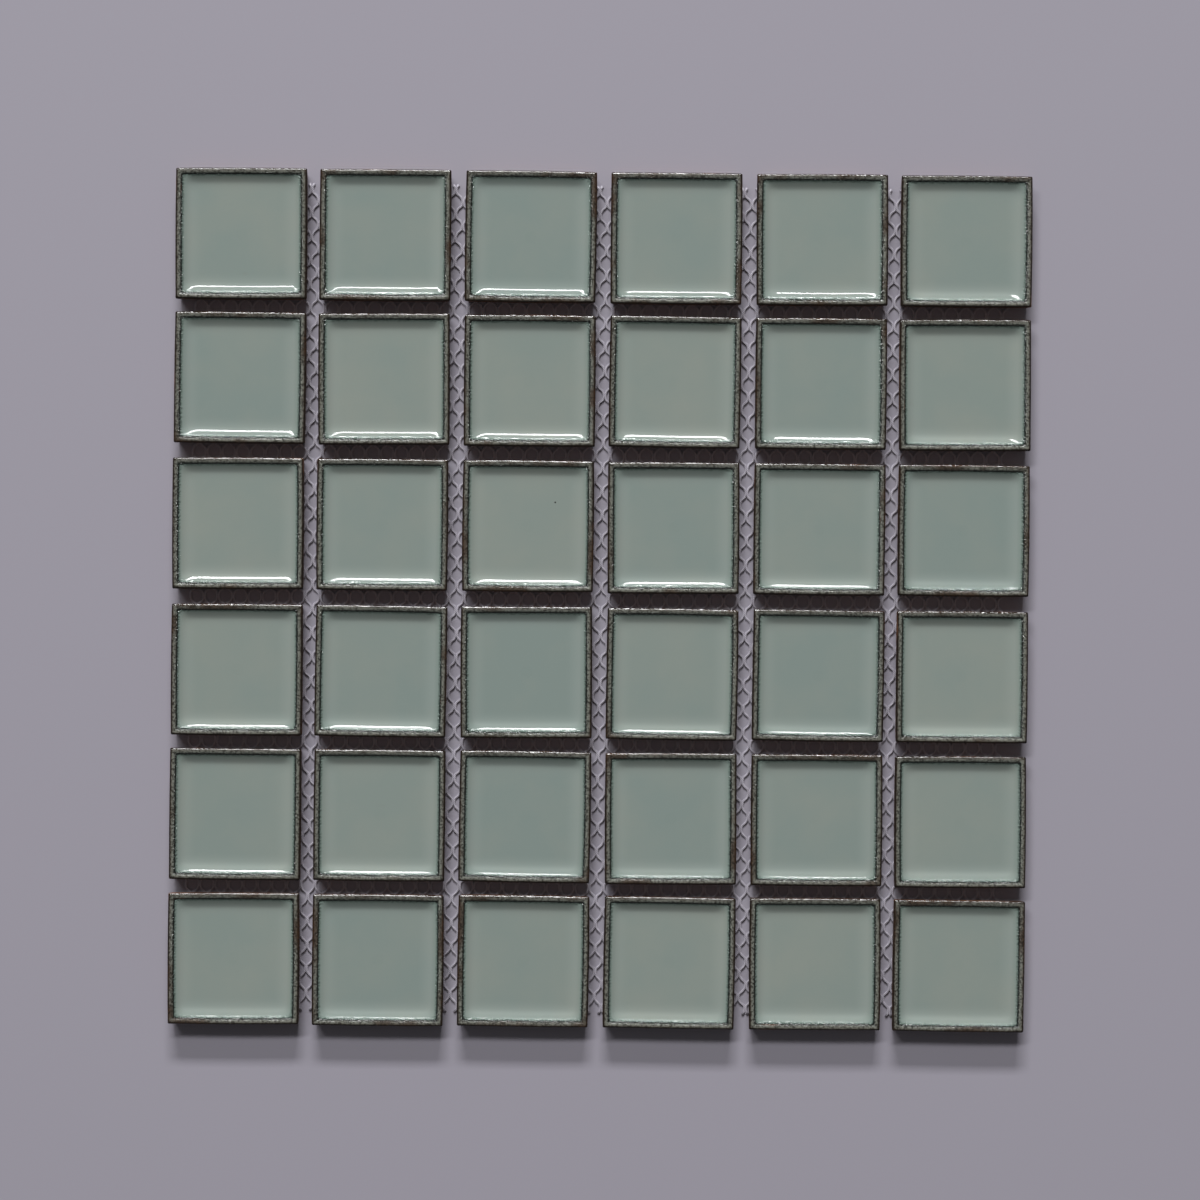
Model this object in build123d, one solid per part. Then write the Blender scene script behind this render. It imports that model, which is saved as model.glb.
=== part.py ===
from build123d import *
import os
import random
from math import sqrt

# A mosaic sheet: six rows of six glazed ceramic tiles, glued by their backs to one
# square of open netting. The glazed faces look along +Z and the sheet lies on its net.
# All sizes are in millimetres. The origin is under the middle of the sheet, on the
# plane that the net rests on.

# Sheet
ROWS = 6
COLUMNS = 6
TILE_PITCH = 50.0
TILE_WIDTH = 45.0
TILE_HEIGHT = 6.0
JOINT_WIDTH = TILE_PITCH - TILE_WIDTH

# Hand-laid tiles stand a little off the even grid, whole rows and columns together.
# Rows count from the sheet's top edge (+Y) down, columns from its left edge (-X).
ROW_DRIFT = (-0.3, 0.3, 0.1, -0.3, -0.1, 0.2)
COLUMN_DRIFT = (0.1, -0.25, -0.1, 0.0, 0.25, -0.15)
TILE_DRIFT = 0.12
TILE_TURN = 0.5
LAYING_SEED = 25

# Body of one tile, from its back up: (height, width). A chamfered back edge, sides that
# lean out a little as the press leaves them, and a rounded edge around the face.
BODY_PROFILE = (
    (0.0, 43.6),
    (0.35, 44.3),
    (5.35, TILE_WIDTH),
    (5.8, 44.7),
    (TILE_HEIGHT, 44.1),
)

# Dish that the glaze pools in: (depth, width, corner cut). The wall is steepest just
# inside the rim and runs out into a long cove and a level floor, and the corners get
# rounder on the way down.
RIM_WIDTH = 1.9
DISH_PROFILE = (
    (0.0, TILE_WIDTH - 2 * RIM_WIDTH, 0.8),
    (0.85, 37.2, 1.6),
    (1.25, 34.2, 2.8),
    (1.4, 29.8, 4.0),
)

# Slots pressed into the back of each tile as a key for the adhesive
KEY_SLOTS = 4
KEY_SLOT_LENGTH = 36.0
KEY_SLOT_WIDTH = 4.5
KEY_SLOT_PITCH = 9.0
KEY_SLOT_DEPTH = 0.5

# Net: four-sided cells in offset rows, open where they show in the joints. Under the
# tiles the glue closes them. The cell pitches divide the tile pitch.
NET_WIDTH = 287.0
NET_THICKNESS = 0.5
CELL_PITCH = TILE_PITCH / 10
CELL_ROW_PITCH = TILE_PITCH / 12
CELL_WIDTH = 3.8
CELL_HEIGHT = 6.0


def four_sided(profile):
    """A solid with that profile, (height, width) points, seen along X and along Y."""
    right = [(width / 2, height) for height, width in profile]
    left = [(-x, z) for x, z in reversed(right)]
    section = make_face(Plane.XZ * Polyline(right + left, close=True))
    bar = extrude(section, TILE_WIDTH, both=True).solid()
    return bar & Rot(0, 0, 90) * bar


def tile_blank():
    """The pressed body of a tile, solid to its face."""
    return four_sided(BODY_PROFILE)


def dish():
    """The hollow inside the rim: a four-sided hollow whose corners a turned one cuts."""
    sides = [(TILE_HEIGHT - depth, width) for depth, width, _ in DISH_PROFILE]
    corners = [(TILE_HEIGHT - depth, sqrt(2) * (width - cut)) for depth, width, cut in DISH_PROFILE]
    return four_sided(sides) & Rot(0, 0, 45) * four_sided(corners)


def key_slots():
    """The shallow slots in the back."""
    slot = Box(KEY_SLOT_WIDTH, KEY_SLOT_LENGTH, 2 * KEY_SLOT_DEPTH)
    first = -(KEY_SLOTS - 1) * KEY_SLOT_PITCH / 2
    return [Pos(first + k * KEY_SLOT_PITCH, 0, 0) * slot for k in range(KEY_SLOTS)]


def tile():
    """One glazed tile, its back on z = 0."""
    return tile_blank() - dish() - key_slots()


def laid_places():
    """Where each tile lies: (row, column, x, y, turn)."""
    hand = random.Random(LAYING_SEED)
    places = []
    for row in range(ROWS):
        for column in range(COLUMNS):
            x = (column - (COLUMNS - 1) / 2) * TILE_PITCH + COLUMN_DRIFT[column]
            y = ((ROWS - 1) / 2 - row) * TILE_PITCH + ROW_DRIFT[row]
            x += hand.uniform(-TILE_DRIFT, TILE_DRIFT)
            y += hand.uniform(-TILE_DRIFT, TILE_DRIFT)
            turn = hand.uniform(-TILE_TURN, TILE_TURN)
            places.append((row + 1, column + 1, x, y, turn))
    return places


def cell(x, y):
    """The outline of one four-sided cell of the net."""
    half_width = CELL_WIDTH / 2
    half_height = CELL_HEIGHT / 2
    return Wire.make_polygon(
        [(x, y + half_height), (x - half_width, y), (x, y - half_height), (x + half_width, y)]
    )


def on_a_joint(distance, count):
    """Whether a distance from the sheet's middle is on the centre line of a joint."""
    joint = round(distance / TILE_PITCH) * TILE_PITCH
    off_line = abs(distance - joint)
    return abs(joint) < count * TILE_PITCH / 2 and off_line < JOINT_WIDTH / 4


def net():
    """The square of netting, with the cells that show in the joints cut through."""
    half = NET_WIDTH / 2
    rows = int(half / CELL_ROW_PITCH)
    columns = int(half / CELL_PITCH)
    cells = []
    for row in range(-rows, rows + 1):
        y = row * CELL_ROW_PITCH
        offset = CELL_PITCH / 2 if row % 2 else 0.0
        for column in range(-columns, columns + 1):
            x = column * CELL_PITCH + offset
            inside = abs(x) < half - CELL_WIDTH and abs(y) < half - CELL_HEIGHT
            if inside and (on_a_joint(x, COLUMNS) or on_a_joint(y, ROWS)):
                cells.append(cell(x, y))
    sheet = Face(Wire.make_rect(NET_WIDTH, NET_WIDTH), cells)
    return extrude(sheet, NET_THICKNESS, dir=(0, 0, 1))


def middle(shapes):
    """The middle, seen from above, of the outline around all the shapes."""
    boxes = [shape.bounding_box() for shape in shapes]
    x = (min(box.min.X for box in boxes) + max(box.max.X for box in boxes)) / 2
    y = (min(box.min.Y for box in boxes) + max(box.max.Y for box in boxes)) / 2
    return x, y


os.makedirs("parts", exist_ok=True)
pressed_tile = tile()
placed = {
    f"tile_row{row}_column{column}": Pos(x, y, NET_THICKNESS) * Rot(0, 0, turn) * pressed_tile
    for row, column, x, y, turn in laid_places()
}

# The outline of the whole field of tiles is centred on the origin.
field_x, field_y = middle(placed.values())
for name, shape in placed.items():
    export_step(Pos(-field_x, -field_y, 0) * shape, f"parts/{name}.step")
export_step(net(), "parts/backing_net.step")
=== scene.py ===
"""The looks of a mosaic tile sheet: glazed, dished tiles glued to a square of knitted netting.

Sizes here are in millimetres unless a name ends in _m. Meshes are written in metres, in the
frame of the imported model, which is loaded first and never changed.
"""

import bisect
import logging
import math
import random
from collections.abc import Sequence
from dataclasses import dataclass, field
from enum import Enum

import bpy
from mathutils import Euler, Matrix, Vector, noise
from mathutils.geometry import tessellate_polygon


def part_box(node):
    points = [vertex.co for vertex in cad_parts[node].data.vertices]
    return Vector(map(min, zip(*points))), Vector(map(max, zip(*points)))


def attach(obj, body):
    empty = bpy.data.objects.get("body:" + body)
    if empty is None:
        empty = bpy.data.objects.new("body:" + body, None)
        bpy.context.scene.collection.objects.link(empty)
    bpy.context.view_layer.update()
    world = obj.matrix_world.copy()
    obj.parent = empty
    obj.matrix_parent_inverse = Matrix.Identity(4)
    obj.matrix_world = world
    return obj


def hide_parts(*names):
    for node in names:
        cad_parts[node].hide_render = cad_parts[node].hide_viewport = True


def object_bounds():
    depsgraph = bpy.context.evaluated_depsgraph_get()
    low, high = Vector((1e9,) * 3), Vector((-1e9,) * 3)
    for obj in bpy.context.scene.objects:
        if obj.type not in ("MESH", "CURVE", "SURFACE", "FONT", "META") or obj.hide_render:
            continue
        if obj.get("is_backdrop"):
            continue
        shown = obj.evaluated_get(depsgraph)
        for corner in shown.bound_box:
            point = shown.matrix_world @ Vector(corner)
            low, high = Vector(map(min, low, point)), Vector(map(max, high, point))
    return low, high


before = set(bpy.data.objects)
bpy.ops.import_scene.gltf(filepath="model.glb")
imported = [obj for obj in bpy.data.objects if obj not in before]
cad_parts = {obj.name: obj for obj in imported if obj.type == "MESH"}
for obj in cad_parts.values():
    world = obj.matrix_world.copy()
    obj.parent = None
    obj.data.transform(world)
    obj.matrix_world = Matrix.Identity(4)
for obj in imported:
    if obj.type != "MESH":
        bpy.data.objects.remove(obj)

LOG = logging.getLogger("mosaic_sheet")
MM = 0.001

Ring = list[Vector]


class Slot(Enum):
    """The material slots' names."""

    TILE = "glazed_stoneware"
    NET = "netting"


class Side(Enum):
    """The four sides of a tile, by the quarter turn that faces each."""

    RIGHT = 0
    TOP = 1
    LEFT = 2
    BOTTOM = 3


def smooth_step(low: float, high: float, value: float) -> float:
    """Eases from 0 at low to 1 at high.

    Args:
        low: The value that gives 0.
        high: The value that gives 1.
        value: The value to ease.

    Returns:
        The eased share, from 0 to 1.
    """
    share = min(1.0, max(0.0, (value - low) / (high - low)))
    return share * share * (3.0 - 2.0 * share)


def hex_linear(code: str) -> tuple[float, float, float, float]:
    """Turns an sRGB hex colour into the linear colour that a shader takes.

    Args:
        code: Six hex digits after a hash sign.

    Returns:
        Linear red, green, blue, and full opacity.
    """
    channels = [int(code[i : i + 2], 16) / 255.0 for i in (1, 3, 5)]
    linear = [c / 12.92 if c <= 0.04045 else ((c + 0.055) / 1.055) ** 2.4 for c in channels]
    return (linear[0], linear[1], linear[2], 1.0)


def add_node(
    tree: bpy.types.NodeTree,
    kind: str,
    settings: dict[str, object] | None = None,
    inputs: dict[str | int, object] | None = None,
) -> bpy.types.Node:
    """Adds one shader node with its settings, and links or sets its inputs.

    Args:
        tree: The material's or world's node tree.
        kind: The node's type name.
        settings: Attributes of the node, such as its operation.
        inputs: For each input, by name or number, an output socket to link or a value to set.

    Returns:
        The new node.
    """
    node = tree.nodes.new(kind)
    for name, value in (settings or {}).items():
        setattr(node, name, value)
    for name, value in (inputs or {}).items():
        if isinstance(value, bpy.types.NodeSocket):
            tree.links.new(value, node.inputs[name])
        else:
            node.inputs[name].default_value = value
    return node


def set_ramp(node: bpy.types.Node, stops: Sequence[tuple[float, str]]) -> None:
    """Gives a colour ramp its stops.

    Args:
        node: The colour ramp node.
        stops: Place from 0 to 1 and sRGB hex colour of each stop.
    """
    elements = node.color_ramp.elements
    while len(elements) > 1:
        elements.remove(elements[-1])
    for number, (place, code) in enumerate(stops):
        element = elements[0] if number == 0 else elements.new(place)
        element.position = place
        element.color = hex_linear(code)


def new_material(name: str) -> bpy.types.Material:
    """Makes an empty node material.

    Args:
        name: The material's name.

    Returns:
        The material, with no nodes in it.
    """
    material = bpy.data.materials.new(name)
    material.use_nodes = True
    material.node_tree.nodes.clear()
    return material


@dataclass(frozen=True)
class CeladonStoneware:
    """Brown stoneware under a celadon glaze, dipped and fired.

    The glaze pools in the dish, where it is thick, glossy and grey-green. It runs off the
    rim and leaves it olive and brown, and the sides stay bare, rough clay.
    """

    name: str = "celadon_glazed_stoneware"
    # Colour at distances in from the tile's outline: a brown edge where the glaze thins over it,
    # painted far darker than the clay as painted shade on the rounded outer edge, an olive rim,
    # the dark line where the glaze breaks off the rim, and then the pooled glaze
    ramp_reach: float = 9.0
    rim_stops: tuple[tuple[float, str], ...] = (
        (0.0, "#1C140D"),
        (0.52, "#2C221A"),
        (0.76, "#6B6A62"),
        (1.46, "#7E8078"),
        (1.72, "#5A5E58"),
        (1.87, "#191D1A"),
        (2.18, "#1D2421"),
        (2.38, "#5F6E67"),
        (3.00, "#83908A"),
        (4.40, "#8C9792"),
        (6.60, "#88948F"),
        (9.00, "#83908B"),
    )
    # Thin glaze over clay, rims burnt through, sand in the clay, and the bare sides
    warm_glaze: str = "#989A90"
    burnt: str = "#3E2A1C"
    speck: str = "#1E1A15"
    clay: str = "#7A4E30"
    clay_dark: str = "#4C2F1B"
    glaze_roughness: float = 0.05
    rim_roughness: float = 0.1
    clay_roughness: float = 0.75
    # Fired glaze is a silicate glass, a little denser than window glass
    glaze_ior: float = 1.52
    # Where the dish's glaze, the rim's thin glaze and the full gloss begin and are complete,
    # in from the outline
    dish_edge: tuple[float, float] = (2.3, 3.6)
    rim_edge: tuple[float, float] = (2.2, 1.5)
    gloss_edge: tuple[float, float] = (1.6, 2.4)
    # The glaze line wavers along the rim, and ends in a ragged line down the sides
    line_waver: float = 0.55
    side_line: tuple[float, float] = (6.2, 6.7)
    side_line_waver: float = 2.6
    # Noise levels between which a patch comes up, and how strong it gets
    patch_range: tuple[float, float] = (0.35, 0.75)
    patch_share: float = 0.3
    scorch_range: tuple[float, float] = (0.54, 0.72)
    scorch_share: float = 0.75
    sand_range: tuple[float, float] = (0.44, 0.62)
    sand_share: float = 0.85
    # Glaze tone drifts over about 20 mm, burnt spots over 14 mm, and the beads along the
    # rim are about 0.75 mm apart
    tone_scale: float = 1.0 / 20.0
    scorch_scale: float = 1.0 / 14.0
    bead_scale: float = 1.0 / 0.75
    bead_height: float = 0.6
    # Strength of the beads at distances in from the outline, as a grey
    bead_stops: tuple[tuple[float, str], ...] = (
        (0.0, "#A0A0A0"),
        (0.60, "#A0A0A0"),
        (0.80, "#4A4A4A"),
        (1.28, "#5A5A5A"),
        (1.64, "#FFFFFF"),
        (2.50, "#FFFFFF"),
        (3.00, "#000000"),
    )
    # Sand in the clay, about 0.7 mm from grain to grain
    clay_grain_scale: float = 1.0 / 0.7
    # One pinhole, which a bubble left in the glaze of the third tile of the third row
    pinhole: tuple[float, float, float] = (-15.8, 33.5, 4.85)
    pinhole_radius: float = 0.42

    def build(self) -> bpy.types.Material:
        """Makes the material.

        Returns:
            The finished material.
        """
        material = new_material(self.name)
        tree = material.node_tree
        place = add_node(tree, "ShaderNodeTexCoord")
        inset = add_node(tree, "ShaderNodeAttribute", {"attribute_name": "inset"})
        height = add_node(tree, "ShaderNodeAttribute", {"attribute_name": "glaze_line"})
        tone = add_node(tree, "ShaderNodeAttribute", {"attribute_name": "tone"})
        burn = add_node(tree, "ShaderNodeAttribute", {"attribute_name": "burn"})

        beads = add_node(
            tree,
            "ShaderNodeTexNoise",
            {"noise_dimensions": "3D"},
            {"Vector": place.outputs["Object"], "Scale": self.bead_scale / MM, "Detail": 2.0},
        )
        drift = add_node(
            tree,
            "ShaderNodeTexNoise",
            {"noise_dimensions": "3D"},
            {"Vector": place.outputs["Object"], "Scale": self.tone_scale / MM, "Detail": 3.0},
        )
        grain = add_node(
            tree,
            "ShaderNodeTexNoise",
            {"noise_dimensions": "3D"},
            {"Vector": place.outputs["Object"], "Scale": self.clay_grain_scale / MM, "Detail": 4.0},
        )

        # The glaze line wavers by less than a bead as it runs along the rim
        waver = add_node(
            tree,
            "ShaderNodeMath",
            {"operation": "MULTIPLY_ADD"},
            {0: beads.outputs["Fac"], 1: self.line_waver, 2: -self.line_waver / 2},
        )
        shifted = add_node(
            tree,
            "ShaderNodeMath",
            {"operation": "ADD"},
            {0: inset.outputs["Fac"], 1: waver.outputs[0]},
        )
        reach = add_node(
            tree,
            "ShaderNodeMath",
            {"operation": "DIVIDE", "use_clamp": True},
            {0: shifted.outputs[0], 1: self.ramp_reach},
        )
        # The bands include painted shade that darkens the rounded outer edge
        bands = add_node(tree, "ShaderNodeValToRGB", None, {"Fac": reach.outputs[0]})
        set_ramp(bands, [(at / self.ramp_reach, code) for at, code in self.rim_stops])

        # Thin glaze shows the clay through it, so tiles and patches differ in warmth
        inside = add_node(
            tree,
            "ShaderNodeMapRange",
            {"interpolation_type": "SMOOTHSTEP"},
            {
                "Value": inset.outputs["Fac"],
                "From Min": self.dish_edge[0],
                "From Max": self.dish_edge[1],
            },
        )
        patch = add_node(
            tree,
            "ShaderNodeMapRange",
            None,
            {
                "Value": drift.outputs["Fac"],
                "From Min": self.patch_range[0],
                "From Max": self.patch_range[1],
                "To Max": self.patch_share,
            },
        )
        mottle = add_node(
            tree,
            "ShaderNodeMath",
            {"operation": "ADD"},
            {0: patch.outputs[0], 1: tone.outputs["Fac"]},
        )
        warmth = add_node(
            tree,
            "ShaderNodeMath",
            {"operation": "MULTIPLY", "use_clamp": True},
            {0: mottle.outputs[0], 1: inside.outputs[0]},
        )
        glaze = add_node(
            tree,
            "ShaderNodeMix",
            {"data_type": "RGBA"},
            {0: warmth.outputs[0], 6: bands.outputs["Color"], 7: hex_linear(self.warm_glaze)},
        )

        # Here and there the rim is burnt through to brown
        scorch = add_node(
            tree,
            "ShaderNodeTexNoise",
            {"noise_dimensions": "3D"},
            {"Vector": place.outputs["Object"], "Scale": self.scorch_scale / MM, "Detail": 3.0},
        )
        scorch_of_tile = add_node(
            tree,
            "ShaderNodeMath",
            {"operation": "ADD"},
            {0: scorch.outputs["Fac"], 1: burn.outputs["Fac"]},
        )
        scorch_spots = add_node(
            tree,
            "ShaderNodeMapRange",
            {"interpolation_type": "SMOOTHSTEP"},
            {
                "Value": scorch_of_tile.outputs[0],
                "From Min": self.scorch_range[0],
                "From Max": self.scorch_range[1],
                "To Max": self.scorch_share,
            },
        )
        on_the_rim = add_node(
            tree,
            "ShaderNodeMapRange",
            {"interpolation_type": "SMOOTHSTEP"},
            {
                "Value": inset.outputs["Fac"],
                "From Min": self.rim_edge[0],
                "From Max": self.rim_edge[1],
            },
        )
        scorched = add_node(
            tree,
            "ShaderNodeMath",
            {"operation": "MULTIPLY"},
            {0: scorch_spots.outputs[0], 1: on_the_rim.outputs[0]},
        )
        burnt_rim = add_node(
            tree,
            "ShaderNodeMix",
            {"data_type": "RGBA"},
            {0: scorched.outputs[0], 6: glaze.outputs[2], 7: hex_linear(self.burnt)},
        )
        # Sand in the clay shows as dark specks where the glaze is thin
        sand = add_node(
            tree,
            "ShaderNodeMapRange",
            None,
            {
                "Value": grain.outputs["Fac"],
                "From Min": self.sand_range[0],
                "From Max": self.sand_range[1],
                "To Max": self.sand_share,
            },
        )
        specks = add_node(
            tree,
            "ShaderNodeMath",
            {"operation": "MULTIPLY"},
            {0: sand.outputs[0], 1: on_the_rim.outputs[0]},
        )
        glazed_face = add_node(
            tree,
            "ShaderNodeMix",
            {"data_type": "RGBA"},
            {0: specks.outputs[0], 6: burnt_rim.outputs[2], 7: hex_linear(self.speck)},
        )

        from_pinhole = add_node(
            tree,
            "ShaderNodeVectorMath",
            {"operation": "DISTANCE"},
            {0: place.outputs["Object"], 1: tuple(at * MM for at in self.pinhole)},
        )
        hole = add_node(
            tree,
            "ShaderNodeMapRange",
            {"interpolation_type": "SMOOTHSTEP"},
            {
                "Value": from_pinhole.outputs["Value"],
                "From Min": self.pinhole_radius * MM,
                "From Max": self.pinhole_radius * 0.5 * MM,
            },
        )
        holed_face = add_node(
            tree,
            "ShaderNodeMix",
            {"data_type": "RGBA"},
            {0: hole.outputs[0], 6: glazed_face.outputs[2], 7: hex_linear(self.speck)},
        )

        clay_tone = add_node(
            tree,
            "ShaderNodeMix",
            {"data_type": "RGBA"},
            {0: grain.outputs["Fac"], 6: hex_linear(self.clay_dark), 7: hex_linear(self.clay)},
        )
        # The glaze ends in a ragged line a little way down the sides
        ragged = add_node(
            tree,
            "ShaderNodeMath",
            {"operation": "MULTIPLY_ADD"},
            {0: drift.outputs["Fac"], 1: self.side_line_waver, 2: height.outputs["Fac"]},
        )
        glazed = add_node(
            tree,
            "ShaderNodeMapRange",
            {"interpolation_type": "SMOOTHSTEP"},
            {
                "Value": ragged.outputs[0],
                "From Min": self.side_line[0],
                "From Max": self.side_line[1],
            },
        )
        colour = add_node(
            tree,
            "ShaderNodeMix",
            {"data_type": "RGBA"},
            {0: glazed.outputs[0], 6: clay_tone.outputs[2], 7: holed_face.outputs[2]},
        )
        rim_gloss = add_node(
            tree,
            "ShaderNodeMapRange",
            {"interpolation_type": "SMOOTHSTEP"},
            {
                "Value": inset.outputs["Fac"],
                "From Min": self.gloss_edge[0],
                "From Max": self.gloss_edge[1],
                "To Min": self.rim_roughness,
                "To Max": self.glaze_roughness,
            },
        )
        roughness = add_node(
            tree,
            "ShaderNodeMix",
            {"data_type": "FLOAT"},
            {0: glazed.outputs[0], 2: self.clay_roughness, 3: rim_gloss.outputs[0]},
        )
        # Beads stand up most where the glaze meets the rim, and fade within the dish
        bead_rise = add_node(tree, "ShaderNodeValToRGB", None, {"Fac": reach.outputs[0]})
        set_ramp(bead_rise, [(at / self.ramp_reach, code) for at, code in self.bead_stops])
        bump = add_node(
            tree,
            "ShaderNodeBump",
            None,
            {
                "Strength": bead_rise.outputs["Color"],
                "Distance": self.bead_height * MM,
                "Height": beads.outputs["Fac"],
            },
        )
        shader = add_node(
            tree,
            "ShaderNodeBsdfPrincipled",
            None,
            {
                "Base Color": colour.outputs[2],
                "Roughness": roughness.outputs[0],
                "IOR": self.glaze_ior,
                "Normal": bump.outputs[0],
            },
        )
        add_node(tree, "ShaderNodeOutputMaterial", None, {"Surface": shader.outputs[0]})
        return material


@dataclass(frozen=True)
class KnittedPolyester:
    """White polyester yarn, knitted into an open net and stiffened with clear glue.

    The yarn is bright and a little translucent, and the glue gives it a dull shine.
    """

    name: str = "knitted_polyester_yarn"
    yarn: str = "#BBB7C2"
    # The twist's grooves take this darker colour, as painted shade between the filaments
    yarn_groove_shade: str = "#928E99"
    roughness: float = 0.42
    # Polyester
    ior: float = 1.57
    sheen: float = 0.15
    # Filaments in the yarn twist about once every 1.2 mm and stand up by a tenth of one
    twist_scale: float = 1.0 / 1.2
    twist_unevenness: float = 2.5
    filament_strength: float = 0.5
    filament_height: float = 0.1

    def build(self) -> bpy.types.Material:
        """Makes the material.

        Returns:
            The finished material.
        """
        material = new_material(self.name)
        tree = material.node_tree
        place = add_node(tree, "ShaderNodeTexCoord")
        twist = add_node(
            tree,
            "ShaderNodeTexWave",
            {"wave_type": "BANDS", "bands_direction": "DIAGONAL"},
            {
                "Vector": place.outputs["Object"],
                "Scale": self.twist_scale / MM,
                "Distortion": self.twist_unevenness,
                "Detail": 2.0,
            },
        )
        # Darker where the twist sinks: painted shade in its grooves
        shade = add_node(
            tree,
            "ShaderNodeMix",
            {"data_type": "RGBA"},
            {0: twist.outputs["Fac"], 6: hex_linear(self.yarn_groove_shade), 7: hex_linear(self.yarn)},
        )
        bump = add_node(
            tree,
            "ShaderNodeBump",
            None,
            {
                "Strength": self.filament_strength,
                "Distance": self.filament_height * MM,
                "Height": twist.outputs["Fac"],
            },
        )
        shader = add_node(
            tree,
            "ShaderNodeBsdfPrincipled",
            None,
            {
                "Base Color": shade.outputs[2],
                "Roughness": self.roughness,
                "IOR": self.ior,
                "Sheen Weight": self.sheen,
                "Normal": bump.outputs[0],
            },
        )
        add_node(tree, "ShaderNodeOutputMaterial", None, {"Surface": shader.outputs[0]})
        return material


@dataclass(frozen=True)
class PaleBoard:
    """A painted board, matt and a pale lilac grey, that shows shadows and no shine."""

    name: str = "pale_board"
    colour: str = "#9B97A2"
    roughness: float = 0.8

    def build(self) -> bpy.types.Material:
        """Makes the material.

        Returns:
            The finished material.
        """
        material = new_material(self.name)
        tree = material.node_tree
        shader = add_node(
            tree,
            "ShaderNodeBsdfPrincipled",
            None,
            {"Base Color": hex_linear(self.colour), "Roughness": self.roughness},
        )
        add_node(tree, "ShaderNodeOutputMaterial", None, {"Surface": shader.outputs[0]})
        return material


@dataclass
class MeshDraft:
    """Vertices, faces and point values of a mesh while it is being made, in millimetres."""

    points: list[Vector] = field(default_factory=list)
    faces: list[tuple[int, ...]] = field(default_factory=list)
    values: dict[str, list[float]] = field(default_factory=dict)

    def add_ring(self, ring: Ring, **values: float | list[float]) -> list[int]:
        """Adds points with their values.

        Args:
            ring: The points, in order.
            values: For each named attribute, one value for all the points, or a list.

        Returns:
            The points' numbers.
        """
        first = len(self.points)
        self.points.extend(ring)
        for name, value in values.items():
            each = value if isinstance(value, list) else [value] * len(ring)
            self.values.setdefault(name, []).extend(each)
        return list(range(first, first + len(ring)))

    def bridge(self, lower: Sequence[int], upper: Sequence[int]) -> None:
        """Joins two closed rings of as many points with four-sided faces.

        Args:
            lower: The ring on the right-hand side of the walk, seen from outside.
            upper: The other ring.
        """
        count = len(lower)
        for i in range(count):
            j = (i + 1) % count
            self.faces.append((lower[i], lower[j], upper[j], upper[i]))

    def to_object(self, name: str, material: bpy.types.Material) -> bpy.types.Object:
        """Makes the Blender object, smooth shaded, in metres.

        Args:
            name: The object's name.
            material: Its material.

        Returns:
            The object, linked to the scene.
        """
        mesh = bpy.data.meshes.new(name)
        mesh.from_pydata([point * MM for point in self.points], [], self.faces)
        for label, values in self.values.items():
            layer = mesh.attributes.new(label, "FLOAT", "POINT")
            layer.data.foreach_set("value", values)
        mesh.materials.append(material)
        mesh.shade_smooth()
        mesh.validate()
        thing = bpy.data.objects.new(name, mesh)
        bpy.context.scene.collection.objects.link(thing)
        return thing


@dataclass(frozen=True)
class TilePlace:
    """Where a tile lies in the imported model."""

    node: str
    centre: Vector
    turn: float
    height: float

    @classmethod
    def of_node(cls, node: str) -> "TilePlace":
        """Reads a tile's place from its node.

        Args:
            node: The node's name.

        Returns:
            The place, in millimetres and radians.
        """
        low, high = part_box(node)
        low, high = Vector(low) / MM, Vector(high) / MM
        centre = Vector(((low.x + high.x) / 2, (low.y + high.y) / 2, low.z))
        vertices = [v.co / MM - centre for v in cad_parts[node].data.vertices]
        # The corner furthest out would be on the diagonal if the tile weren't turned
        corner = max(vertices, key=lambda v: v.x + v.y if v.x > 0 and v.y > 0 else 0.0)
        turn = math.atan2(corner.y, corner.x) - math.pi / 4
        return cls(node, centre, turn, high.z - low.z)


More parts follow.
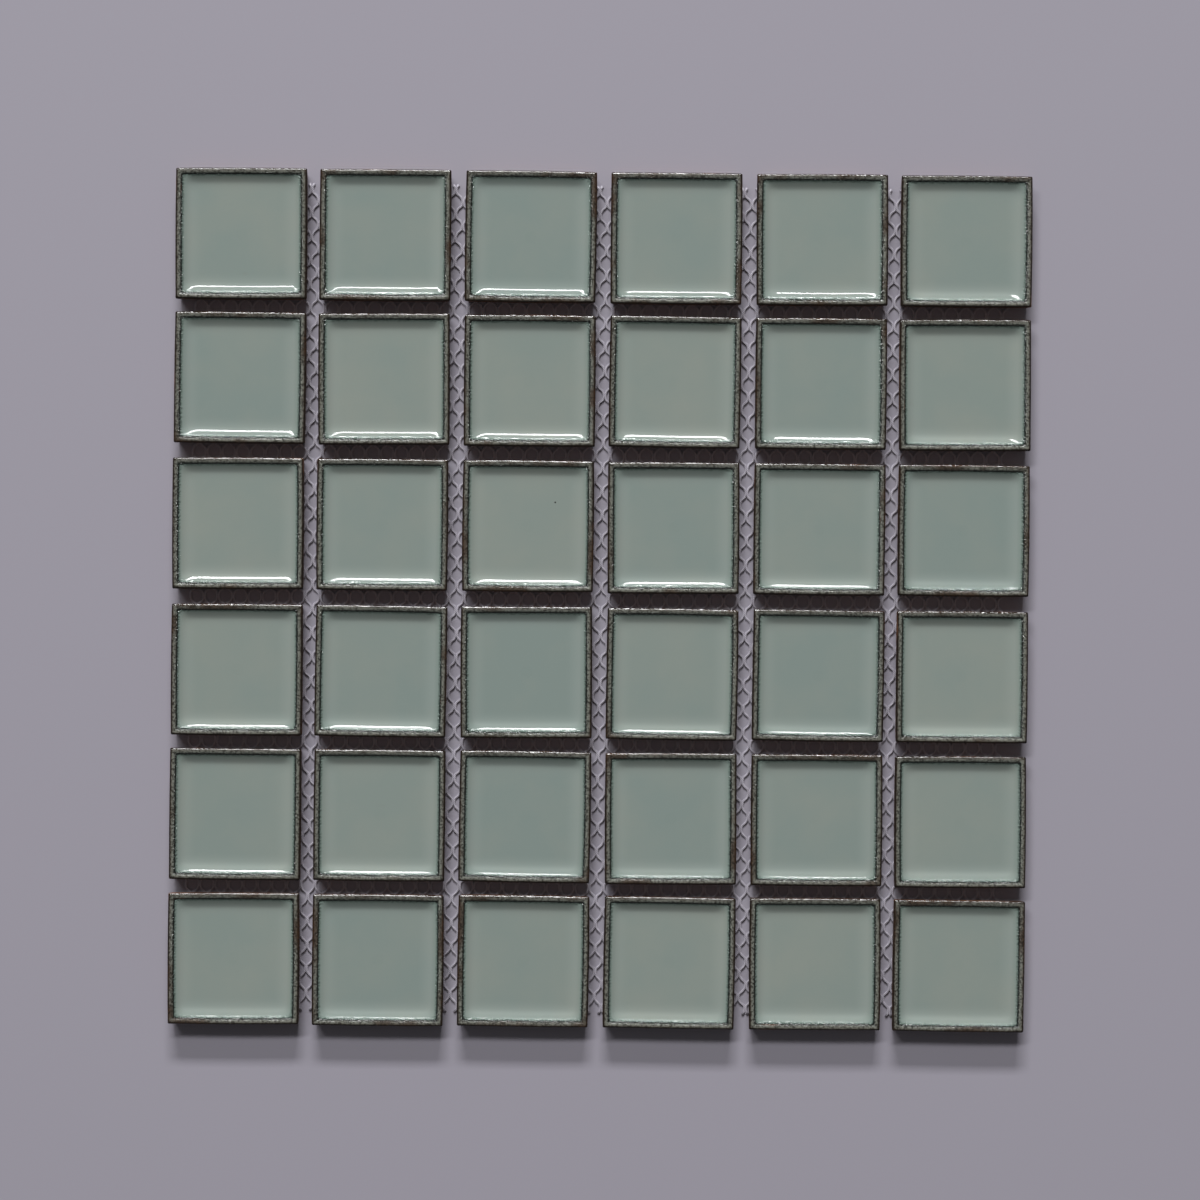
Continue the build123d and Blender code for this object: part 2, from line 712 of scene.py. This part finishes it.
@dataclass
class DishedTile:
    """One pressed tile: a rim around a shallow dish, and slots in its back.

    The glaze pools in the dish, so its depth is the product of a rise from each of the four
    sides. It has the full slope in the middle of a side and levels out into the corners.
    """

    place: TilePlace
    seed: int
    # The glazed outline is 0.2 mm outside the solid's
    half_width: float = 22.7
    back_inset: float = 0.55
    rim_width: float = 2.1
    rim_drop: float = 0.33
    side_bow: float = 0.16
    # Rings up the sides: out from the foot, above the back, and how far the ring wanders
    side_rings: tuple[tuple[float, float, float], ...] = (
        (-0.35, 0.0, 0.0),
        (-0.14, 0.1, 0.0),
        (0.0, 0.35, 0.05),
        (0.16, 1.6, 0.08),
        (0.32, 3.2, 0.08),
        (0.48, 4.7, 0.06),
    )
    # Rings over the rim: in from the outline, below the face, and how far the ring wanders
    rim_rings: tuple[tuple[float, float, float], ...] = (
        (0.0, 0.62, 0.05),
        (0.03, 0.46, 0.05),
        (0.1, 0.34, 0.05),
        (0.2, 0.25, 0.05),
        (0.36, 0.14, 0.05),
        (0.52, 0.05, 0.05),
        (0.68, 0.01, 0.03),
        (0.9, 0.0, 0.0),
        (1.18, 0.02, 0.04),
        (1.42, 0.075, 0.05),
        (1.66, 0.155, 0.06),
        (1.9, 0.245, 0.07),
    )
    # Rings down the dish, in from the rim's inner edge: close together where it bends
    dish_insides: tuple[float, ...] = (
        *(0.0, 0.12, 0.26, 0.42, 0.62, 0.85, 1.1, 1.35, 1.6, 1.8, 2.0, 2.2, 2.4, 2.6),
        *(2.8, 3.0, 3.3, 3.7, 4.2, 4.9, 5.8, 7.0, 8.6, 10.8, 13.4, 16.2, 18.6),
    )
    # The dish's slope adds up a roll-off at the rim, a wall that ends in a knee, and a
    # run-out that goes on to near the level floor
    roll_off_reach: float = 1.0
    wall_slope: float = 0.22
    knee_inside: float = 2.95
    knee_half_width: float = 1.15
    run_out_slope: float = 0.165
    run_out: tuple[float, float] = (1.0, 6.8)
    dish_reach: float = 9.0
    profile_step: float = 0.02
    # What each tile draws for itself
    bow_shares: tuple[float, float] = (0.4, 1.3)
    tones: tuple[float, float] = (-0.1, 0.15)
    depth_shares: tuple[float, float] = (0.96, 1.04)
    knee_spread: float = 0.12
    roll_offs: tuple[float, float] = (0.17, 0.25)
    burns: tuple[float, float] = (-0.08, 0.1)
    # Edges wander over two lengths, the longer one more
    noise_reach: float = 50.0
    coarse_wave: float = 6.0
    coarse_share: float = 0.6
    fine_wave: float = 1.3
    fine_share: float = 0.5
    glaze_line_wave: float = 0.08
    glaze_line_wave_reach: float = 0.7
    # Corners round from the rim's inner edge to the knee, and never take a whole ring
    outer_corner: float = 0.5
    glaze_corner: float = 0.85
    knee_corner: float = 3.0
    knee_corner_inside: float = 3.2
    most_corner: float = 0.9
    # Where the colour stops following the rim's line and follows the glaze's depth
    pool_edge: tuple[float, float] = (0.4, 2.0)
    points_on_a_side: int = 41
    points_on_a_corner: int = 6
    slots: int = 4
    slot_length: float = 36.0
    slot_width: float = 4.5
    slot_pitch: float = 9.0
    slot_depth: float = 0.5
    slot_corner: float = 0.9
    slot_corner_steps: int = 4
    slot_draft: float = 0.12

    def __post_init__(self) -> None:
        """Draws this tile's own unevenness and adds up its dish's profile."""
        hand = random.Random(self.seed)
        self.bows = [self.side_bow * hand.uniform(*self.bow_shares) for _ in Side]
        self.wave_seed = Vector([hand.uniform(0.0, self.noise_reach) for _ in range(3)])
        self.tone = hand.uniform(*self.tones)
        self.depth_share = hand.uniform(*self.depth_shares)
        self.knee = self.knee_inside + hand.uniform(-self.knee_spread, self.knee_spread)
        self.roll_off = hand.uniform(*self.roll_offs)
        self.burn = hand.uniform(*self.burns)
        self.drops = [0.0]
        for i in range(round(self.dish_reach / self.profile_step)):
            slope = self.dish_slope((i + 0.5) * self.profile_step)
            self.drops.append(self.drops[-1] + slope * self.profile_step)

    def ring(
        self, half: float, corner: float, bow_share: float, z: float, wave: float = 0.0
    ) -> Ring:
        """Makes one closed ring: a square with bowed sides and round corners.

        Args:
            half: Half the width across the middle of the sides.
            corner: The corners' radius.
            bow_share: How much of the tile's bow this ring has.
            z: Height above the tile's back.
            wave: How far the ring wanders in and out.

        Returns:
            The ring's points, in the tile's own frame.
        """
        points: Ring = []
        for side in Side:
            bow = self.bows[side.value] * bow_share
            next_bow = self.bows[(side.value + 1) % 4] * bow_share
            before_bow = self.bows[(side.value - 1) % 4] * bow_share
            low = -(half - before_bow - corner)
            high = half - next_bow - corner
            turn = Euler((0, 0, side.value * math.pi / 2))
            # Never nil, also in the smallest ring
            reach = max(abs(low), abs(high), 0.001)
            for i in range(self.points_on_a_side):
                y = low + (high - low) * i / self.points_on_a_side
                point = Vector((half - bow * (y / reach) ** 2, y, z))
                point.rotate(turn)
                points.append(point)
            middle = Vector((half - bow - corner, high, z))
            for i in range(self.points_on_a_corner):
                angle = math.pi / 2 * i / self.points_on_a_corner
                point = middle + Vector((math.cos(angle), math.sin(angle), 0)) * corner
                point.rotate(turn)
                points.append(point)
        if wave:
            points = [self.wander(point, wave) for point in points]
        return points

    def wander(self, point: Vector, wave: float) -> Vector:
        """Moves a point in or out by smooth noise.

        Args:
            point: The point, in the tile's own frame.
            wave: About the furthest it goes.

        Returns:
            The moved point.
        """
        coarse = noise.noise(point / self.coarse_wave + self.wave_seed)
        fine = noise.noise(point / self.fine_wave - self.wave_seed)
        outward = Vector((point.x, point.y, 0)).normalized()
        return point + outward * wave * (self.coarse_share * coarse + self.fine_share * fine)

    def dish_slope(self, inside: float) -> float:
        """Gives the dish's slope: a roll-off, a wall with a knee, and a long run-out.

        Args:
            inside: Distance inside the rim's inner edge.

        Returns:
            The slope, as a tangent.
        """
        roll_off = self.roll_off * math.exp(-((inside / self.roll_off_reach) ** 2))
        knee_start = self.knee - self.knee_half_width
        knee_end = self.knee + self.knee_half_width
        wall = self.wall_slope * (1.0 - smooth_step(knee_start, knee_end, inside))
        run_out = self.run_out_slope * (1.0 - smooth_step(*self.run_out, inside))
        return (roll_off + wall + run_out) * self.depth_share

    def share_at(self, inside: float) -> float:
        """Gives the share of the full depth that one side allows at a distance from it.

        Args:
            inside: Distance inside the rim's inner edge.

        Returns:
            The share, from 0 to 1.
        """
        last = len(self.drops) - 1
        # A hair short of the last drop, so that there is always a next one
        place = min(max(inside, 0.0) / self.profile_step, last - 0.001)
        low = int(place)
        drop = self.drops[low] + (place - low) * (self.drops[low + 1] - self.drops[low])
        return drop / self.drops[last]

    def inside_side(self, point: Vector, side: Side) -> float:
        """Gives how far a point is inside the rim's inner edge on one side.

        Args:
            point: The point, in the tile's own frame.
            side: The side.

        Returns:
            The distance.
        """
        turned = point.copy()
        turned.rotate(Euler((0, 0, -side.value * math.pi / 2)))
        inner = self.half_width - self.rim_width
        bow = self.bows[side.value] * min(1.0, (turned.y / inner) ** 2)
        return inner - bow - turned.x

    def pool_share(self, point: Vector) -> float:
        """Gives the share of the full depth at a point of the dish.

        Args:
            point: The point, in the tile's own frame.

        Returns:
            The share, from 0 at the rim to 1 on the level floor.
        """
        return math.prod(self.share_at(self.inside_side(point, side)) for side in Side)

    def inset_of(self, share: float) -> float:
        """Gives the inset at which the middle of a side reaches a share of the depth.

        Args:
            share: The share of the full depth.

        Returns:
            The inset from the tile's outline.
        """
        # A hair under the drop, so that the level floor isn't searched past its start
        place = bisect.bisect_left(self.drops, share * self.drops[-1] * 0.9999)
        return self.rim_width + place * self.profile_step

    def body_rings(self) -> list[tuple[Ring, float, float]]:
        """Makes the rings from the back's edge up the sides and over the rim.

        Returns:
            Each ring, its inset from the outline, and its height.
        """
        foot = self.half_width - self.back_inset
        top = self.place.height
        sizes = [(foot + out, height, wave) for out, height, wave in self.side_rings]
        sizes += [(self.half_width - deep, top - drop, wave) for deep, drop, wave in self.rim_rings]
        return [
            (self.ring(half, self.outer_corner, 1.0, z, wave), self.half_width - half, z)
            for half, z, wave in sizes
        ]

    def dish_rings(self) -> list[tuple[Ring, list[float]]]:
        """Makes the rings from the rim's inner edge to the middle of the dish.

        Returns:
            Each ring, and its points' insets as the depth of glaze there gives them.
        """
        inner = self.half_width - self.rim_width
        rings = []
        for inside in self.dish_insides:
            rounded = smooth_step(0.0, self.knee_corner_inside, inside)
            corner = self.glaze_corner + (self.knee_corner - self.glaze_corner) * rounded
            corner = min(corner, (inner - inside) * self.most_corner)
            bow_share = 1.0 - smooth_step(0.0, self.dish_reach, inside)
            flat = self.ring(inner - inside, corner, bow_share, 0.0)
            shares = [self.pool_share(point) for point in flat]
            settled = smooth_step(0.0, self.glaze_line_wave_reach, inside)
            wave = self.glaze_line_wave * (1.0 - settled)
            ring = [self.wander(point, wave) for point in flat]
            for point, share in zip(ring, shares):
                point.z = self.place.height - self.rim_drop - share * self.drops[-1]
            pooled = smooth_step(*self.pool_edge, inside)
            drawn = (1.0 - pooled) * (self.rim_width + inside)
            rings.append((ring, [drawn + pooled * self.inset_of(share) for share in shares]))
        return rings

    def slot_outline(self, middle: float, grow: float) -> Ring:
        """Makes the outline of one slot in the back.

        Args:
            middle: The slot's place across the tile.
            grow: How much wider than the slot's floor it is.

        Returns:
            The outline's points at height 0, anticlockwise seen from above.
        """
        corner_x = self.slot_width / 2 + grow - self.slot_corner
        corner_y = self.slot_length / 2 + grow - self.slot_corner
        points: Ring = []
        for quarter in range(4):
            diagonal = math.pi / 2 * (quarter + 0.5)
            x = middle + math.copysign(corner_x, math.cos(diagonal))
            y = math.copysign(corner_y, math.sin(diagonal))
            for i in range(self.slot_corner_steps + 1):
                angle = math.pi / 2 * (quarter + i / self.slot_corner_steps)
                round_x = self.slot_corner * math.cos(angle)
                round_y = self.slot_corner * math.sin(angle)
                points.append(Vector((x + round_x, y + round_y, 0)))
        return points

    def add_back(self, draft: MeshDraft, edge: Sequence[int]) -> None:
        """Closes the back, with its slots.

        Args:
            draft: The mesh being made.
            edge: The numbers of the back edge's points.
        """
        loops = [list(edge)]
        first = -(self.slots - 1) * self.slot_pitch / 2
        lift = Vector((0, 0, self.slot_depth))
        bare = {"inset": self.dish_reach, "glaze_line": 0.0}
        for number in range(self.slots):
            middle = first + number * self.slot_pitch
            mouth = draft.add_ring(self.slot_outline(middle, self.slot_draft), **bare)
            floor_ring = [point + lift for point in self.slot_outline(middle, 0.0)]
            floor = draft.add_ring(floor_ring, **bare)
            draft.bridge(floor, mouth)
            draft.faces.append(tuple(reversed(floor)))
            loops.append(mouth)
        outlines = [[draft.points[i] for i in loop] for loop in loops]
        flat = [i for loop in loops for i in loop]
        for a, b, c in tessellate_polygon(outlines):
            corners = [draft.points[flat[i]] for i in (a, b, c)]
            upward = (corners[1] - corners[0]).cross(corners[2] - corners[0]).z > 0
            face = (flat[a], flat[c], flat[b]) if upward else (flat[a], flat[b], flat[c])
            draft.faces.append(face)

    def build(self, material: bpy.types.Material) -> bpy.types.Object:
        """Makes the tile where its node is.

        Args:
            material: The tile's material.

        Returns:
            The tile's object.
        """
        draft = MeshDraft()
        face = self.place.height
        rows = [
            draft.add_ring(ring, inset=inset, glaze_line=z) for ring, inset, z in self.body_rings()
        ]
        rows += [
            draft.add_ring(ring, inset=insets, glaze_line=face) for ring, insets in self.dish_rings()
        ]
        for lower, upper in zip(rows, rows[1:]):
            draft.bridge(lower, upper)
        last = draft.points[rows[-1][0]].z
        middle = draft.add_ring([Vector((0, 0, last))], inset=self.half_width, glaze_line=face)[0]
        count = len(rows[-1])
        for i in range(count):
            draft.faces.append((rows[-1][i], rows[-1][(i + 1) % count], middle))
        self.add_back(draft, rows[0])
        draft.values["tone"] = [self.tone] * len(draft.points)
        draft.values["burn"] = [self.burn] * len(draft.points)
        turn = Euler((0, 0, self.place.turn))
        for point in draft.points:
            point.rotate(turn)
            point += self.place.centre
        tile = draft.to_object(f"glazed_{self.place.node}", material)
        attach(tile, "root")
        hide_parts(self.place.node)
        return tile


@dataclass
class TileField:
    """All the tiles of the sheet."""

    finish: CeladonStoneware
    seed: int = 4

    def build(self) -> list[bpy.types.Object]:
        """Makes every tile.

        Returns:
            The tiles' objects.
        """
        material = self.finish.build()
        nodes = sorted(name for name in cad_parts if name.startswith("tile_"))
        tiles = []
        for number, node in enumerate(nodes):
            tile = DishedTile(TilePlace.of_node(node), self.seed * 1000 + number)
            tiles.append(tile.build(material))
        return tiles


@dataclass
class KnittedNet:
    """The netting: wavy yarns that run up the sheet and twist together in pairs.

    Each yarn swings between two neighbouring columns of twists. Where it meets the next
    yarn, the two lie side by side for a short way.
    """

    finish: KnittedPolyester
    column_pitch: float = 2.5
    period: float = 50.0 / 6.0
    twist_length: float = 2.4
    twist_gap: float = 0.3
    yarn_width: float = 1.0
    yarn_height: float = 0.46
    # The net lies a little askew, and its yarns stray from their even path
    lean: float = 0.006
    stray_across: float = 0.35
    stray_along: float = 0.3
    stray_length: float = 9.0
    rise: float = 0.02
    edge_margin: float = 0.5
    steps_in_period: int = 8
    sides: int = 6
    pieces: int = 4
    seed: int = 21

    def swing(self, share: float) -> float:
        """Gives how far a yarn is across from one column of twists to the next.

        Args:
            share: Place in the period, from 0 to 1.

        Returns:
            0 at the left column, 1 at the right one.
        """
        twist_share = self.twist_length / self.period
        move_share = 0.5 - twist_share
        share %= 1.0
        if share > 0.5:
            share = 1.0 - share
        at = (share - twist_share / 2) / move_share
        at = min(1.0, max(0.0, at))
        # Half way between a straight run and an eased one
        return 0.5 * at + 0.5 * smooth_step(0.0, 1.0, at)

    def yarn_path(self, number: int, low: Vector, high: Vector) -> list[Vector]:
        """Gives the points along one yarn.

        Args:
            number: The yarn's number, counted from the left edge.
            low: The net's lowest corner.
            high: The net's highest corner.

        Returns:
            The points, in millimetres.
        """
        step = self.period / self.steps_in_period
        count = int((high.y - low.y) / step)
        left = low.x + number * self.column_pitch + self.column_pitch / 2
        phase = 0.5 * (number % 2)
        reach = self.column_pitch - 2 * self.twist_gap
        middle = (low.z + high.z) / 2
        points = []
        for i in range(count + 1):
            y = low.y + (high.y - low.y) * i / count
            share = y / self.period + phase
            x = left + self.twist_gap + reach * self.swing(share) + self.lean * y
            spot = Vector((x / self.stray_length, y / self.stray_length, self.seed))
            stray = noise.noise_vector(spot)
            x += self.stray_across * stray.x
            y += self.stray_along * stray.y
            z = middle + math.sin(2 * math.pi * share) * self.rise
            x = min(high.x - self.edge_margin, max(low.x + self.edge_margin, x))
            y = min(high.y, max(low.y, y))
            points.append(Vector((x, y, z)))
        return points

    def add_yarn(self, draft: MeshDraft, path: Sequence[Vector]) -> None:
        """Adds one yarn as a flattened tube.

        Args:
            draft: The mesh being made.
            path: The yarn's points.
        """
        rings = []
        last = len(path) - 1
        up = Vector((0, 0, 1))
        for i, point in enumerate(path):
            along = (path[min(i + 1, last)] - path[max(i - 1, 0)]).normalized()
            across = Vector((along.y, -along.x, 0)).normalized()
            ring = []
            for k in range(self.sides):
                angle = 2 * math.pi * (k + 0.5) / self.sides
                ring.append(
                    point
                    + across * (self.yarn_width / 2 * math.cos(angle))
                    + up * (self.yarn_height / 2 * math.sin(angle))
                )
            rings.append(draft.add_ring(ring))
        for first, second in zip(rings, rings[1:]):
            draft.bridge(first, second)
        draft.faces.append(tuple(reversed(rings[0])))
        draft.faces.append(tuple(rings[-1]))

    def build(self) -> list[bpy.types.Object]:
        """Makes the net, in upright strips that share its yarns out.

        Returns:
            The strips' objects.
        """
        material = self.finish.build()
        # Without a seed, noise_vector takes its offsets from the clock
        noise.seed_set(self.seed)
        low, high = (Vector(corner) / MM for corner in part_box("backing_net"))
        yarns = int((high.x - low.x) / self.column_pitch) - 1
        in_a_piece = math.ceil(yarns / self.pieces)
        strips = []
        for piece in range(self.pieces):
            draft = MeshDraft()
            for number in range(piece * in_a_piece, min(yarns, (piece + 1) * in_a_piece)):
                self.add_yarn(draft, self.yarn_path(number, low, high))
            strip = draft.to_object(f"net_yarns_{piece + 1}", material)
            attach(strip, "root")
            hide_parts("backing_net")
            strips.append(strip)
        return strips


@dataclass(frozen=True)
class Lamp:
    """A rectangular lamp that faces the middle of the sheet, in metres and watts."""

    name: str
    place: tuple[float, float, float]
    size: tuple[float, float]
    watts: float


@dataclass
class Studio:
    """The floor, the lights and the camera."""

    floor_finish: PaleBoard
    # A low window beyond the sheet's top edge lights the tiles and glints on the rims, and
    # the strip of light above it gives the line of light in each dish
    lamps: tuple[Lamp, ...] = (
        Lamp("window", (-0.4, 8.22, 3.66), (3.6, 0.82), 850.0),
        Lamp("window_head", (-1.2, 4.014, 4.46), (4.4, 0.5), 218.0),
    )
    room_fill: float = 0.1
    floor_half_m: float = 3.0
    sensor_width_mm: float = 36.0
    camera_height_m: float = 0.75
    # Width of the picture at the height of the tiles' faces
    field_of_view_mm: float = 412.9
    camera_roll: float = math.radians(0.62)

    def build_floor(self) -> bpy.types.Object:
        """Makes the floor, just under the sheet.

        Returns:
            The floor's object.
        """
        half = self.floor_half_m
        mesh = bpy.data.meshes.new("floor")
        corners = [(-half, -half, 0.0), (half, -half, 0.0), (half, half, 0.0), (-half, half, 0.0)]
        mesh.from_pydata(corners, [], [(0, 1, 2, 3)])
        mesh.materials.append(self.floor_finish.build())
        floor = bpy.data.objects.new("floor", mesh)
        bpy.context.scene.collection.objects.link(floor)
        floor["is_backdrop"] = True
        return floor

    def hang_lamp(self, lamp: Lamp) -> None:
        """Adds a lamp, turned to the middle of the sheet.

        Args:
            lamp: Its place, size and power.
        """
        light = bpy.data.lights.new(lamp.name, "AREA")
        light.shape = "RECTANGLE"
        light.size, light.size_y = lamp.size
        light.energy = lamp.watts
        place = Vector(lamp.place)
        thing = bpy.data.objects.new(lamp.name, light)
        thing.location = place
        thing.rotation_euler = (-place).to_track_quat("-Z", "Y").to_euler()
        bpy.context.scene.collection.objects.link(thing)

    def build_lights(self) -> None:
        """Hangs the lamps and sets the room's even fill."""
        for lamp in self.lamps:
            self.hang_lamp(lamp)
        world = bpy.data.worlds.new("room")
        world.use_nodes = True
        tree = world.node_tree
        tree.nodes.clear()
        back = add_node(
            tree,
            "ShaderNodeBackground",
            None,
            {"Color": hex_linear("#FFFFFF"), "Strength": self.room_fill},
        )
        add_node(tree, "ShaderNodeOutputWorld", None, {"Surface": back.outputs[0]})
        bpy.context.scene.world = world

    def build_camera(self) -> None:
        """Sets the camera, looking straight down on the sheet."""
        data = bpy.data.cameras.new("camera")
        data.sensor_width = self.sensor_width_mm
        _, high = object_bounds()
        data.lens = data.sensor_width * self.camera_height_m / (self.field_of_view_mm * MM)
        camera = bpy.data.objects.new("camera", data)
        camera.location = (0.0, 0.0, high[2] + self.camera_height_m)
        camera.rotation_euler = (0.0, 0.0, self.camera_roll)
        bpy.context.scene.collection.objects.link(camera)
        bpy.context.scene.camera = camera


def set_view() -> None:
    """Shows colours as they are written."""
    bpy.context.scene.view_settings.view_transform = "Standard"


def report(pieces: Sequence[bpy.types.Object]) -> None:
    """Logs each piece with its size in faces.

    Args:
        pieces: The pieces just made.
    """
    for piece in pieces:
        LOG.info("%s: %d faces", piece.name, len(piece.data.polygons))


def main() -> None:
    """Builds the sheet and its stage."""
    logging.basicConfig(level=logging.INFO, format="%(name)s: %(message)s")
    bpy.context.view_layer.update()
    studio = Studio(PaleBoard())
    studio.build_camera()
    report(TileField(CeladonStoneware()).build())
    report(KnittedNet(KnittedPolyester()).build())
    report([studio.build_floor()])
    studio.build_lights()
    set_view()


if __name__ == "__main__":
    main()
